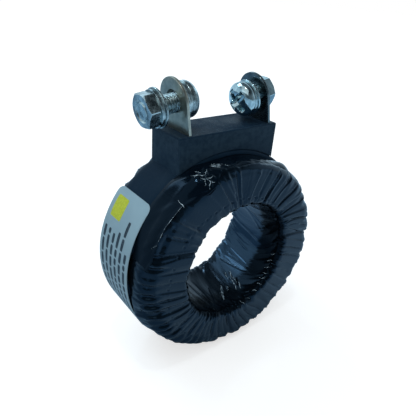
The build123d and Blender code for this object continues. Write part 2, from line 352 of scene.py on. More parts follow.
def block_material():
    """Moulded black resin: a fine sparked texture, rubbed edges, and specks on the top."""
    finish = Finish("block_resin")
    tree = finish.tree
    mottle = finish.effect("mottle", Patches_per_mm=0.12, Contrast=0.6,
                           Dark=(0.0055, 0.0155, 0.031), Light=(0.0064, 0.0178, 0.0355))
    grain = finish.effect("grain", Grains_per_mm=3.5)
    edges = finish.effect("edges", From=0.51, To=0.6)
    dust = finish.effect("dust", Amount=0.08)
    color = mix_color(tree, times(tree, edges["Mask"], 0.6), mottle["Color"], (0.03, 0.055, 0.08))
    color = mix_color(tree, dust["Mask"], color, (0.09, 0.11, 0.13))
    normal = add(tree, "ShaderNodeTexCoord").outputs["Normal"]
    upward = remap(tree, split(tree, normal)[2], 0.5, 0.9)
    coarse = finish.effect("grain", Grains_per_mm=1.7)
    specks = times(tree, remap(tree, coarse["Height"], 0.5, 0.72), upward)
    color = mix_color(tree, specks, color, (0.018, 0.04, 0.064))
    return finish.give(color=color, roughness=finish.between(mottle["Mask"], 0.42, 0.62),
                       specular=0.09, tint=VINYL_TINT,
                       bumps=[(mottle["Mask"], 0.05, 0.1), (grain["Height"], 0.25, 0.05),
                              (specks, 0.5, 0.08)])


def sticker_material():
    """Satin sticker film, a little grubby, with faint creases."""
    finish = Finish("sticker_film")
    surface = add(finish.tree, "ShaderNodeUVMap", uv_map="surface").outputs[0]
    mottle = finish.effect("mottle", Patches_per_mm=0.12, Contrast=0.35,
                           Dark=(0.235, 0.34, 0.395), Light=(0.27, 0.385, 0.44))
    creases = finish.effect("streaks", surface, Across_per_mm=0.5, Along_per_mm=0.12,
                            Waviness=0.6)
    return finish.give(color=mottle["Color"], roughness=finish.between(creases["Mask"], 0.4, 0.5),
                       specular=0.35, bumps=[(creases["Height"], 0.15, 0.1)])


def metal_material(name, dark, light, roughness, across, along, brush):
    """Plated steel: faint brushed streaks, patchy shine and brighter rubbed edges."""
    finish = Finish(name)
    scaled = vector_calc(finish.tree, "MULTIPLY", finish.vector, (PER_MM,) * 3)
    mottle = finish.effect("mottle", Patches_per_mm=0.5, Contrast=0.5, Dark=dark, Light=light)
    streaks = finish.effect("streaks", scaled, Across_per_mm=across, Along_per_mm=along,
                            Waviness=0.2)
    edges = finish.effect("edges", From=0.52, To=0.62)
    rubbed = times(finish.tree, edges["Mask"], 0.5)
    color = mix_color(finish.tree, rubbed, mottle["Color"], (0.85, 0.92, 0.95))
    return finish.give(color=color, roughness=mix_value(finish.tree, streaks["Mask"], *roughness),
                       metallic=1.0, bumps=[(streaks["Height"], brush, 0.03)])


def hidden_material(name, dark, light, roughness, metallic, patches):
    """Finish of a layer inside the wrap, which only a cut would show."""
    finish = Finish(name)
    mottle = finish.effect("mottle", Patches_per_mm=patches, Contrast=0.5, Dark=dark, Light=light)
    grain = finish.effect("grain", Grains_per_mm=2.5)
    rough = finish.between(mottle["Mask"], roughness - 0.05, roughness + 0.08)
    return finish.give(color=mottle["Color"], roughness=rough, metallic=metallic,
                       bumps=[(grain["Height"], 0.3, 0.05)])


# ---------------------------------------------------------------- camera, light and floor

CAMERA_AZIMUTH = -40.31
CAMERA_ELEVATION = 27.95
CAMERA_ROLL = 4.72
CAMERA_DISTANCE = 116.94
CAMERA_TARGET = (-6.263, -3.349, 15.67)
CAMERA_LENS = 35.25

LIGHTS = {
    "key_light": dict(place=(-330, -120, 500), size=650, power=0.95),
    "top_light": dict(place=(-95, -85, 600), size=36, power=0.3),
    "back_light": dict(place=(-170, 330, 450), size=260, power=0.75, cool=True),
    "glint_light": dict(place=(84, 400, 440), size=40, power=0.2, cool=True),
    "fill_light": dict(place=(420, 120, 260), size=420, power=0.2, cool=True),
}
LIGHT_COLOR = (0.84, 0.94, 1.0)    # daylight lamps, a little cool
MIRROR_COLOR = (0.62, 0.84, 1.0)   # the tent's cloth and the paper as shiny surfaces show them
AMBIENT_LEVEL = 0.55
OPEN_SIDE = (-0.3, -0.9, 0.3)      # the light tent is open, and so dimmer, towards here
OPEN_SIDE_FADE = (-0.1, 0.75)
OPEN_SIDE_LEVEL = 0.14
CEILING_FADE = (0.42, 0.72)        # heights on a unit sphere where the tent's ceiling darkens
CEILING_LEVEL = 0.16
FLOOR_SIZE = 12000
FLOOR_COLOR = (0.6, 0.6, 0.6)
FLOOR_IN_MIRROR = (0.22, 0.36, 0.5)
# Lifts the floor to white without lighting the part, more so far from the lamps.
FLOOR_GLOW = (0.62, 0.75)
GLOW_REACH = (120, 700)
GLOW_TINT = (1.0, 0.98, 0.965)
# Where mirrors see the paper as white: (x, y) of the corner, way to go on from it, fade and level.
CARDS = (
    ((0, 60), (1, 1), 50, 1.0),
    ((-45, 16), (1, 1), 16, 0.75),
    ((-30, -13), (1, -1), 14, 0.72),
    ((-16, -13), (-1, -1), 14, 0.36),
)


def make_camera():
    azimuth, elevation, roll = (math.radians(v) for v in (
        CAMERA_AZIMUTH, CAMERA_ELEVATION, CAMERA_ROLL))
    back = Vector((math.sin(azimuth) * math.cos(elevation),
                   -math.cos(azimuth) * math.cos(elevation), math.sin(elevation)))
    level = (-back).cross(Vector((0, 0, 1))).normalized()
    above = level.cross(-back)
    right = level * math.cos(roll) + above * math.sin(roll)
    up = above * math.cos(roll) - level * math.sin(roll)
    data = bpy.data.cameras.new("camera")
    data.lens = CAMERA_LENS
    data.clip_start = 5 * MM
    camera = bpy.data.objects.new("camera", data)
    bpy.context.collection.objects.link(camera)
    place = (Vector(CAMERA_TARGET) + back * CAMERA_DISTANCE) * MM
    turn = Matrix((right, up, back)).transposed().to_4x4()
    camera.matrix_world = Matrix.Translation(place) @ turn
    bpy.context.scene.camera = camera


def add_light(name, place, size, power, cool=False):
    """Square soft light that faces the part."""
    data = bpy.data.lights.new(name, "AREA")
    data.shape = "SQUARE"
    data.size = size * MM
    data.energy = power
    data.color = MIRROR_COLOR if cool else LIGHT_COLOR
    light = bpy.data.objects.new(name, data)
    bpy.context.collection.objects.link(light)
    light.location = Vector(place) * MM
    light.rotation_euler = (-Vector(place)).to_track_quat("-Z", "Y").to_euler()


def make_studio():
    """A light tent: even for the part's own colours, darker above and in front in its gloss."""
    scene = bpy.context.scene
    scene.view_settings.view_transform = "Standard"
    scene.world = bpy.data.worlds.new("studio")
    scene.world.use_nodes = True
    tree = scene.world.node_tree
    tree.nodes.clear()
    shown, mirrored = ray_masks(tree)
    heading = add(tree, "ShaderNodeTexCoord").outputs["Generated"]
    toward = vector_calc(tree, "DOT_PRODUCT", heading, OPEN_SIDE)
    aside = remap(tree, toward, *OPEN_SIDE_FADE, 1.0, OPEN_SIDE_LEVEL)
    overhead = remap(tree, split(tree, heading)[2], *CEILING_FADE, 1.0, CEILING_LEVEL)
    level = mix_value(tree, mirrored, AMBIENT_LEVEL, times(tree, aside, overhead))
    level = mix_value(tree, shown, level, 1.0)
    color = mix_color(tree, mirrored, LIGHT_COLOR, MIRROR_COLOR)
    color = mix_color(tree, shown, color, (1, 1, 1))
    background = add(tree, "ShaderNodeBackground", {"Color": color, "Strength": level})
    add(tree, "ShaderNodeOutputWorld", {"Surface": background.outputs[0]})
    for name, settings in LIGHTS.items():
        add_light(name, **settings)


def floor_material():
    """Pale paper, seen dim and cool in the part's gloss but for a few white cards."""
    finish = Finish("floor_paper")
    tree = finish.tree
    shown, mirrored = ray_masks(tree)
    place = split(tree, finish.vector)
    cards = 0.0
    for corner, ways, fade, level in CARDS:
        card = level
        for axis in (0, 1):
            start, stop = corner[axis] * MM, (corner[axis] + ways[axis] * fade) * MM
            card = times(tree, card, remap(tree, place[axis], start, stop))
        cards = maximum(tree, cards, card)
    lit = maximum(tree, shown, times(tree, cards, mirrored))
    apart = vector_calc(tree, "LENGTH", finish.vector)
    level = remap(tree, apart, *(value * MM for value in GLOW_REACH), *FLOOR_GLOW)
    return finish.give(
        color=mix_color(tree, mirrored, FLOOR_COLOR, FLOOR_IN_MIRROR), roughness=0.9, specular=0.0,
        glow=times(tree, lit, level), glow_color=mix_color(tree, shown, MIRROR_COLOR, GLOW_TINT))


def make_floor():
    low = CAD_BOX[0][2]
    half = FLOOR_SIZE * MM / 2
    mesh = bpy.data.meshes.new("floor")
    corners = [(-half, -half, low), (half, -half, low), (half, half, low), (-half, half, low)]
    mesh.from_pydata(corners, [], [(0, 1, 2, 3)])
    mesh.materials.append(floor_material())
    floor = bpy.data.objects.new("floor", mesh)
    bpy.context.collection.objects.link(floor)


# ---------------------------------------------------------------- mesh helpers

def new_piece(name, points, faces, material, slot, replaced=(), surface=None, sharp=None):
    """Piece from points in millimetres, which rides on the part's one body."""
    mesh = bpy.data.meshes.new(name)
    mesh.from_pydata((np.asarray(points, float).reshape(-1, 3) * MM).tolist(), [], faces)
    mesh.validate()
    if surface is not None:
        layer = mesh.uv_layers.new(name="surface")
        corners = np.zeros(len(mesh.loops), np.int32)
        mesh.loops.foreach_get("vertex_index", corners)
        places = np.asarray(surface, np.float32).reshape(-1, 2)
        layer.data.foreach_set("uv", places[corners].ravel())
    mesh.polygons.foreach_set("use_smooth", [True] * len(mesh.polygons))
    if sharp:
        mesh.set_sharp_from_angle(angle=math.radians(sharp))
    mesh.materials.append(material)
    piece = bpy.data.objects.new(name, mesh)
    bpy.context.collection.objects.link(piece)
    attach(piece, BODY)
    if replaced:
        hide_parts(*replaced)


def grid_faces(rows, columns, wrap_rows=False, wrap_columns=False, start=0, flip=False):
    """Quads of a grid of points laid out row by row."""
    faces = []
    for i in range(rows if wrap_rows else rows - 1):
        for j in range(columns if wrap_columns else columns - 1):
            a, b = start + i * columns, start + (i + 1) % rows * columns
            c = (j + 1) % columns
            face = (a + j, b + j, b + c, a + c)
            faces.append(face[::-1] if flip else face)
    return faces


def end_caps(rows, columns, start=0):
    """The faces that close the two ends of a tube laid out loop by loop."""
    last = start + (rows - 1) * columns
    return [tuple(range(start, start + columns)), tuple(range(last, last + columns))[::-1]]


def new_sheet(name, outside, inside, surface, material, slot, flip=False, **settings):
    """Closed thin piece from a grid of points on each of its two sides."""
    rows, columns = outside.shape[:2]
    count = rows * columns
    faces = grid_faces(rows, columns, flip=flip)
    faces += grid_faces(rows, columns, start=count, flip=not flip)
    rim = list(range(columns)) + [i * columns + columns - 1 for i in range(1, rows)]
    rim += [(rows - 1) * columns + j for j in range(columns - 2, -1, -1)]
    rim += [i * columns for i in range(rows - 2, 0, -1)]
    for ends in zip(rim, rim[1:] + rim[:1]):
        a, b = reversed(ends) if flip else ends
        faces.append((b, a, a + count, b + count))
    new_piece(name, [outside, inside], faces, material, slot, surface=[surface, surface], **settings)


def between(a, b, share):
    return a + (b - a) * share


def smooth_step(value, low, high):
    t = np.clip((np.asarray(value, float) - low) / (high - low), 0, 1)
    return t * t * (3 - 2 * t)


def plateau(value, low, full, fading, gone):
    """Rises from 0 to 1 between the first two values and falls to 0 between the last two."""
    return smooth_step(value, low, full) * (1 - smooth_step(value, fading, gone))


def hill(value, middle, reach):
    """1 at the middle, falling smoothly to 0 at the reach on either side."""
    return 1 - smooth_step(np.abs(np.asarray(value, float) - middle), 0, reach)


def mound(angle, across, middle, reach):
    """Hill round a middle given as (angle, across), with its reach each way."""
    return hill(turned(angle - middle[0]), 0, reach[0]) * hill(across, middle[1], reach[1])


def turned(angle):
    """The angle brought to -180..180."""
    return (angle + 180) % 360 - 180


def arc(angle, radius):
    return turned(angle) * math.pi / 180 * radius


def around(angle, knots):
    """Value read from (angle, value) knots round the ring."""
    places, values = zip(*knots)
    return np.interp(angle, places, values, period=360)


def waves(value, seed, count, low, high):
    """Sum of sine waves with whole-number counts round the ring, about -1 to 1."""
    rng = np.random.default_rng(seed)
    total = np.zeros_like(np.asarray(value, float))
    for _ in range(count):
        turns = int(rng.integers(low, high))
        phase = rng.uniform(0, 2 * math.pi)
        total += np.sin(np.radians(value) * turns + phase) * rng.uniform(0.5, 1)
    return total / math.sqrt(count)


def round_axis(r, y, angle):
    """Points at a distance from the window's axis, a place along it and an angle round it."""
    a = np.radians(angle)
    return np.stack(np.broadcast_arrays(r * np.cos(a), y, r * np.sin(a)), -1)


# ---------------------------------------------------------------- tape wrap

WINDOW_R = 18.0
RING_WIDTH = 26.0
TAPE_R = 32.5
TAPE_OVAL = 1.2
TAPE_OVAL_ANGLE = -35.0
SHOULDER_R = 4.2
MOUTH_R = 2.2

# Distance across the tape's section, from the middle of the rim to the middle of the bore.
RIM_END = RING_WIDTH / 2 - SHOULDER_R
FACE_START = RIM_END + SHOULDER_R * math.pi / 2
FACE_END = FACE_START + TAPE_R - SHOULDER_R - MOUTH_R - WINDOW_R
BORE_START = FACE_END + MOUTH_R * math.pi / 2
BORE_MIDDLE = BORE_START + RING_WIDTH / 2 - MOUTH_R
SECTION_ENDS = (0, RIM_END, FACE_START, FACE_END, BORE_START, BORE_MIDDLE)

# Edges of the tape's turns where they cross the front shoulder.
TURN_EDGES = (2, 8, 14, 22, 29, 36, 44, 52, 58, 65, 74, 82, 90, 98, 104, 111, 119, 129, 138, 147,
              156, 161, 167, 172.5, 178, 183.5, 189, 195, 201, 207, 213.5, 220, 227, 234, 241, 247,
              253, 260, 267, 273, 279, 286, 292.5, 299, 305.5, 312, 318, 325, 331, 337.5, 344, 349.5,
              355.5)
# How far the turns lean as they run from the shoulder to the bore, on the front and the back.
FRONT_LEAN = ((0, 9), (15, 16), (32, 7), (60, 6), (88, 7), (99, -2), (110, -8), (125, -6), (138, -2),
              (157, -8), (170, 2), (185, 8), (205, 9), (221, 4), (236, 0), (249, -6), (266, -11),
              (288, -13), (300, -7), (325, 1), (345, 3))
BACK_LEAN = ((0, -5), (60, -9), (120, -4), (180, -8), (240, -3), (300, -7))
BORE_SLANT = -22         # how far they lean on across the bore


def rim_radius(angle):
    return TAPE_R + TAPE_OVAL * np.cos(2 * np.radians(angle - TAPE_OVAL_ANGLE))


def section(angle, across):
    """Distance from the axis and place along it, and the outward normal, on the bare wrap."""
    outer, across = np.broadcast_arrays(rim_radius(angle), across)
    u = np.abs(across)
    side = np.where(across < 0, -1.0, 1.0)
    shoulder = (u - RIM_END) / SHOULDER_R
    face = (u - FACE_START) / (FACE_END - FACE_START)
    mouth = (u - FACE_END) / MOUTH_R
    half = RING_WIDTH / 2
    inner = WINDOW_R + MOUTH_R
    stretches = [u <= end for end in SECTION_ENDS[1:-1]]
    r = np.select(stretches, [outer, outer - SHOULDER_R * (1 - np.cos(shoulder)),
                              (outer - SHOULDER_R) * (1 - face) + inner * face,
                              inner - MOUTH_R * np.sin(mouth)], WINDOW_R)
    y = np.select(stretches, [u, RIM_END + SHOULDER_R * np.sin(shoulder), half + 0 * u,
                              half - MOUTH_R + MOUTH_R * np.cos(mouth)],
                  half - MOUTH_R - (u - BORE_START))
    nr = np.select(stretches, [1 + 0 * u, np.cos(shoulder), 0 * u, -np.sin(mouth)], -1.0)
    ny = np.select(stretches, [0 * u, np.sin(shoulder), 1 + 0 * u, np.cos(mouth)], 0.0)
    return r, -y * side, nr, -ny * side


def ring_points(angle, across, height):
    """Points at a height over the bare wrap, kept inside the part's box."""
    r, y, nr, ny = section(angle, across)
    return np.clip(round_axis(r + nr * height, y + ny * height, angle), *(np.array(CAD_BOX) / MM))


def turn_phase(angle, across):
    """Angle at which the turn through a point crosses the front shoulder."""
    front, back = around(angle, FRONT_LEAN), around(angle, BACK_LEAN)
    u = np.abs(across)
    through = smooth_step(u, 12, BORE_START) * 0.999
    bore = 2 * (BORE_MIDDLE - BORE_START)
    deep = u - BORE_START
    share = np.clip(np.where(across >= 0, deep, bore - deep) / bore, 0, 1)
    in_bore = between(front, back, share) + BORE_SLANT * share * (1 - share) * 2
    lean = np.where(u > BORE_START, in_bore, np.where(across >= 0, front, back) * through)
    return (angle - lean) % 360


def turn_place(phase):
    """For each phase: share of the way from its turn's edge to the next, and its number."""
    edges = np.array(TURN_EDGES + (TURN_EDGES[0] + 360,), float)
    wrapped = np.where(phase < edges[0], phase + 360, phase)
    k = np.clip(np.searchsorted(edges, wrapped, side="right") - 1, 0, len(edges) - 2)
    return (wrapped - edges[k]) / (edges[k + 1] - edges[k]), k


def turn_value(k, seed, low, high):
    """A number for each turn of the tape, drawn between two values."""
    return np.random.default_rng(seed).uniform(low, high, len(TURN_EDGES))[k]


# Folds pressed into the front by hand: (angle, across) at both ends, height, width and bow.
FRONT_FOLDS = (
    ((98, 12.5), (96, 25), 0.30, 0.55, 0.4), ((99.6, 12.5), (97.5, 25), -0.35, 0.5, 0.4),
    ((109, 10), (101, 23), 0.22, 0.6, 1.6), ((106.5, 10), (99, 22), 0.18, 0.5, 1.6),
    ((111.5, 9.5), (103.5, 23), -0.2, 0.7, 1.8), ((82, 14), (89, 25), 0.16, 0.45, 0.5),
    ((74, 13), (79, 22), -0.14, 0.5, 0.5), ((66, 12.5), (71, 24.5), -0.32, 0.8, 0.4),
    ((63, 12.5), (69, 24.5), 0.22, 0.6, 0.4), ((52, 13), (58, 24), 0.2, 0.6, 0.5),
    ((44, 13), (50, 24), -0.2, 0.6, 0.3), ((29, 14), (36, 24), -0.2, 0.5, 0.3),
    ((14, 12), (32, 25), 0.34, 0.8, 1.5), ((11, 12), (28, 26), -0.3, 0.7, 1.2),
    ((6, 12), (21, 26), 0.26, 0.6, 1.0), ((0, 11), (9, 26), -0.36, 0.7, 0.5),
    ((358, 11), (6, 26), 0.2, 0.5, 0.5), ((356, 11), (1, 26), -0.3, 0.6, 0.4),
    ((345, 12), (348, 26), -0.25, 0.6, 0.3), ((158, 12.5), (151, 24), -0.45, 0.7, 0.8),
    ((156.3, 13), (149.5, 24), 0.18, 0.5, 0.8), ((138, 14), (135, 21.5), -0.2, 0.9, 0.3),
    ((142, 13.5), (141, 19), -0.25, 1.0, 0.2), ((147, 13), (145, 20), -0.28, 1.0, 0.2),
)
FRONT_FOLD_FADE = (-0.08, 0.12, 0.88, 1.08)   # shares of its length where a fold sets in and ends
FRONT_FOLD_GAIN = 1.35
# Folds in the window's wall: (angle, y) at both ends, height and width.
BORE_FOLDS = (
    ((18, 4.5), (1, -2.9), 0.16, 0.5), ((22, 6), (8, -5), -0.14, 0.7),
    ((354, 6), (347, -3), 0.15, 0.5), ((336, 6.5), (331, -0.5), 0.14, 0.5),
    ((343, 7), (338, -4), -0.16, 0.6), ((322, 7), (318, -2), 0.12, 0.5),
    ((306, 7), (310, -2.5), 0.2, 0.4), ((313, 6), (314, -5), -0.16, 0.6),
    ((300, 0.5), (296, -2), 0.26, 0.34), ((299, -3), (294, -5.4), 0.28, 0.34),
    ((296, -1), (290, -2.2), 0.2, 0.3), ((302, -2.4), (297, -4.2), 0.2, 0.3),
    ((281, -2.6), (276, -5.2), 0.26, 0.34), ((275, -4.6), (269, -7), 0.26, 0.34),
    ((286, -3.8), (281, -5.4), 0.22, 0.3), ((270, 0), (262, -6.5), -0.16, 0.7),
    ((253, 6), (251, -8.5), 0.18, 0.5), ((259, 5), (256, -7), -0.14, 0.7),
    ((40, 5), (30, -6), 0.12, 0.6), ((58, 4), (50, -7), 0.12, 0.6), ((240, 4), (238, -6), 0.14, 0.6),
)
BORE_FOLD_FADE = (-0.15, 0.2, 0.8, 1.15)


def fold_height(angle, place, folds, fade, radius, spread):
    """Height of hand-pressed folds: ridges where positive and creases where negative."""
    total = np.zeros(np.broadcast(angle, place).shape)
    for (angle_a, place_a), (angle_b, place_b), height, width, *bow in folds:
        along = (place - place_a) / (place_b - place_a)
        middle = between(angle_a, angle_b, along)
        middle = middle + sum(bow) * np.sin(np.clip(along, 0, 1) * math.pi)
        apart = arc(angle - middle, radius)
        total += height * plateau(along, *fade) * np.exp(-(apart / (width * spread)) ** 2)
    return total


# Gathering of the turns round the front, as (angle, amount): depth of the hollows that open
# between turns at the shoulder and at the window's mouth, and height of the long folds.
SHOULDER_HOLLOWS = ((0, 0.35), (30, 0.25), (60, 0.1), (100, 0.08), (150, 0.12), (166, 0.6), (180, 1.0),
                    (225, 1.0), (250, 0.6), (275, 0.4), (320, 0.35), (345, 0.5))
MOUTH_HOLLOWS = ((0, 0.7), (40, 0.4), (75, 0.4), (110, 0.35), (160, 0.4), (200, 0.45), (235, 0.6),
                 (265, 0.8), (310, 0.85), (345, 0.8))
LONG_FOLDS = ((0, 0.3), (40, 0.15), (70, 0.06), (155, 0.04), (180, 0.16), (225, 0.3), (250, 0.42),
              (262, 0.5), (290, 0.48), (315, 0.42), (345, 0.34))
BACK_HOLLOWS = 0.55      # the same on the back, all the way round
BACK_FOLDS = 0.2
SHOULDER_HOLLOW_PLACE = (13.4, 4.8)              # middle across the section, and reach
MOUTH_HOLLOW_PLACE = (BORE_START - 1.8, 3.4)
LONG_FOLD_PLACE = (19, 9)
LAP = 0.2                # step from the edge of one turn down to the next
WRAP_SINK = -0.3         # the wrap's usual depth under its nominal surface
LOOSE_HILL = (-12, 62)   # angle and reach of the loosest turns, and of the tightest
TIGHT_HILL = (85, 50)
BORE_CALM = 0.55         # share of the relief that is lost in the bore
SHOULDER_HOLLOW_DEPTH = 2.0
MOUTH_HOLLOW_DEPTH = 1.2
LONG_FOLD_HEIGHT = 1.3
LONG_FOLD_SINK = 0.7     # lowers the long folds, so that the gaps between them lie deep
PROUD_RANGE = (-0.3, 0.2)   # how far a whole turn stands out
FINE_WRINKLES = 0.007
SWAY = 0.14
SLACK = 0.08


def hollows(t, k, u, place, seed):
    """Lens-shaped hollows, one at each turn, from 0 down to about -1."""
    middle = place[0] + turn_value(k, seed, -1.3, 1.3)
    along = hill(u, middle, place[1] * turn_value(k, seed + 1, 0.7, 1.25))
    width = turn_value(k, seed + 2, 0.17, 0.3) * np.sqrt(along) + 0.03
    apart = (t - turn_value(k, seed + 3, 0.2, 0.55)) / width
    return -turn_value(k, seed + 4, 0.3, 1.1) * along * np.exp(-apart ** 2)


def wrap_height(angle, across):
    """How far the wrap stands in or out of its nominal surface."""
    phase = turn_phase(angle, across)
    t, k = turn_place(phase)
    u = np.abs(across)
    front = across >= 0
    open_face = plateau(u, 5, 10, BORE_START - 1, BORE_START + 3)
    shoulder = np.where(front, around(angle, SHOULDER_HOLLOWS), BACK_HOLLOWS)
    mouth = np.where(front, around(angle, MOUTH_HOLLOWS), BACK_HOLLOWS)
    folds = np.where(front, around(angle, LONG_FOLDS), BACK_FOLDS)

    lapped = turn_value(k, 3, 0.4, 1.4) * LAP * (1 - t) * smooth_step(t, 0, 0.05)
    lapped = lapped * between(0.35, 1, open_face)
    hollow = SHOULDER_HOLLOW_DEPTH * shoulder * hollows(t, k, u, SHOULDER_HOLLOW_PLACE, 51)
    hollow = hollow + MOUTH_HOLLOW_DEPTH * mouth * hollows(t, k, u, MOUTH_HOLLOW_PLACE, 61)
    peak = turn_value(k, 9, 0.3, 0.62)
    skewed = np.where(t < peak, 0.5 * t / peak, 0.5 + 0.5 * (t - peak) / (1 - peak))
    hump = np.sqrt(np.clip(np.sin(skewed * math.pi), 0, 1)) * turn_value(k, 5, 0.5, 1.3)
    fold = LONG_FOLD_HEIGHT * folds * (hump - LONG_FOLD_SINK) * hill(u, *LONG_FOLD_PLACE)
    loose = 1 + 1.5 * hill(turned(angle), *LOOSE_HILL) - 0.5 * hill(turned(angle), *TIGHT_HILL)
    proud = loose * turn_value(k, 13, *PROUD_RANGE) * plateau(t, 0, 0.12, 0.86, 1)
    proud = proud * between(0.25, 1, open_face)

    fine = FINE_WRINKLES * waves(phase, 11, 12, 60, 140)
    fine = fine * (0.55 + 0.45 * waves(angle + u * 3, 17, 4, 3, 9))
    sway = SWAY * waves(angle, 23, 5, 2, 9) * np.cos(u / 6 + np.radians(angle) * 2)
    slack = SLACK * waves(phase, 29, 5, 9, 26) * smooth_step(u, 14, 20)
    calm = 1 - BORE_CALM * smooth_step(u, BORE_START + 0.5, BORE_START + 5)
    return WRAP_SINK + calm * (lapped + hollow + proud) + fold + fine + sway + slack


TAPE_ANGLES = 620
FRONT_STEPS = (14, 26, 26, 18, 22)   # from the rim to the bore, closer on what is seen most
BACK_STEPS = (14, 8, 11, 11, 8)      # and back to the rim
WRAP_MAP_R = 25                      # turns angles round the wrap into millimetres on it
DEEPEST = -1.1
UNDER_SHEET = -0.95
BESIDE_SHEET = 0.55      # hollow of the turns where the sheet's low end meets them
COLLAR_HEIGHT = 1.2      # the turns stand up against the strip's edge low down on the left
# Where the turns end over the sheet, at the top, their ends stand up as a lip.
WRAP_LIP = ((50, 0.1), (62, 0.35), (80, 0.5), (100, 0.45), (107, 0.2), (112, 0.0), (180, 0.0),
            (340, 0.0))


def section_steps(ends, counts):
    """Places across the section, evenly set between each two ends."""
    return np.concatenate([np.linspace(low, high, count, endpoint=False)
                           for low, high, count in zip(ends, ends[1:], counts)])


def wrap_relief(angle, across):
    """The wrap's height with its folds, sunk where the sheet covers it."""
    height = wrap_height(angle, across)
    face_r = np.clip(TAPE_R - np.maximum(0, across - 10), WINDOW_R, TAPE_R)
    pressed = fold_height(angle, across, FRONT_FOLDS, FRONT_FOLD_FADE, face_r, 0.5)
    height = height + np.where(across > 0, FRONT_FOLD_GAIN * pressed, 0)
    in_bore = smooth_step(np.abs(across), BORE_START - 0.5, BORE_START + 1)
    y = section(angle, across)[1]
    height = height + in_bore * fold_height(angle, y, BORE_FOLDS, BORE_FOLD_FADE, WINDOW_R, 0.6)
    past_edge = across - around(angle, SHEET_EDGE)
    height = height - BESIDE_SHEET * mound(angle, past_edge, (152, 1.6), (12, 1.5))
    height = between(height, UNDER_SHEET, sheet_cover(angle, across))
    lip = around(angle, WRAP_LIP) * hill(past_edge, 0.9, 1.6)
    collar = COLLAR_HEIGHT * mound(angle, across, (198, 6.6), (23, 3.2))
    return np.clip(height + lip + collar, DEEPEST, 0.85 * collar)


def make_wrap(material):
    across = np.concatenate([section_steps(SECTION_ENDS, FRONT_STEPS),
                             -section_steps(SECTION_ENDS[::-1], BACK_STEPS)])
    angle = (np.arange(TAPE_ANGLES) * 360 / TAPE_ANGLES)[:, None]
    angle, across = np.broadcast_arrays(angle, across)
    points = ring_points(angle, across, wrap_relief(angle, across))
    surface = np.stack([np.radians(turn_phase(angle, across)) * WRAP_MAP_R, across], -1)
    new_piece("tape_wrap", points, grid_faces(*angle.shape, True, True), material, "tape",
              ["outer_tape_wrap"], surface)


# ---------------------------------------------------------------- tape sheet on the front shoulder

SHEET_START = 56
SHEET_END = 165
SHEET_TOP = 4.6          # its upper edge, tucked under the strip and the block
SHEET_GRID = (520, 90)
SHEET_SINK = 0.05
SHEET_WALL = 0.14
SHEET_WAVER = 0.12       # how far its free edge wanders
SHEET_TUCK = 1.3         # and how far it goes on under the turns near the top
PUFF_HEIGHT = 1.25       # blown-up part, and the same at the strip's edge and at the right corner
FLUSH_HEIGHT = 0.8
CORNER_HEIGHT = 0.9
SHEET_LIP = 0.28
RIPPLES = 0.05
SOFT_WAVES = 0.10
# Free edge of the sheet across the section, by angle.
SHEET_EDGE = ((50, 12.0), (69, 12.0), (82, 11.9), (97, 11.8), (103, 11.0), (107, 11.2),
              (111, 13.0), (115, 14.5), (118, 14.9), (122, 14.0), (128, 12.9), (132, 12.2),
              (143, 12.0), (152, 12.2), (160, 12.5), (166, 11.5))
# How high it lies, by angle: it is pulled in at the top and blown up at the left.
SHEET_LEVEL = ((50, -0.3), (62, -0.5), (96, -0.55), (106, -0.25), (112, 0.1), (145, 0.1), (158, -0.15),
               (166, -0.4))
# Crinkled star in the puffed part: arms as (direction, length, height), from its middle.
STAR_MIDDLE = (115.5, 10.6)
STAR_ARMS = ((10, 3.6, 0.22), (62, 2.6, 0.2), (100, 3.2, 0.24), (150, 4.2, 0.22), (200, 3.0, 0.2),
             (243, 3.8, 0.22), (290, 2.8, 0.2), (330, 3.4, 0.2))
STAR_RIDGE = 0.22        # half width of an arm


def sheet_cover(angle, across):
    """1 where the sheet covers the wrap, 0 elsewhere."""
    edge = around(angle, SHEET_EDGE)
    return (plateau(angle, SHEET_START, SHEET_START + 3, SHEET_END - 3, SHEET_END) *
            plateau(across, SHEET_TOP - 1, SHEET_TOP + 0.5, edge - 0.9, edge - 0.3))


def star_height(angle, across):
    x, y = arc(angle - STAR_MIDDLE[0], TAPE_R), across - STAR_MIDDLE[1]
    total = np.zeros_like(x)
    for direction, length, height in STAR_ARMS:
        c, s = math.cos(math.radians(direction)), math.sin(math.radians(direction))
        along = x * c + y * s
        apart = -x * s + y * c + 0.25 * np.sin(3 * along)
        ends = plateau(along, -0.2, 0.3, length * 0.5, length)
        total += height * ends * np.exp(-(apart / STAR_RIDGE) ** 2)
    return total


def sheet_height(angle, across, t):
    """Height of the sheet over the bare wrap; t goes from its upper edge to its free edge."""
    puff = PUFF_HEIGHT * mound(angle, across, (119, 8.4), (17, 6.2))
    flush = FLUSH_HEIGHT * plateau(angle, 116, 130, 146, 163) * (1 - smooth_step(across, 5.2, 8.8))
    corner = CORNER_HEIGHT * mound(angle, across, (60, 9.5), (9, 5))
    lip = SHEET_LIP * smooth_step(t, 0.88, 1.0) * smooth_step(angle, 108, 113)
    ripples = RIPPLES * waves(angle + across * 2.5, 31, 6, 20, 60) * smooth_step(t, 0.1, 0.5)
    soft = SOFT_WAVES * waves(angle, 37, 4, 6, 16) * np.sin(t * math.pi)
    return (around(angle, SHEET_LEVEL) + puff + flush + corner + lip + ripples + soft +
            star_height(angle, across))


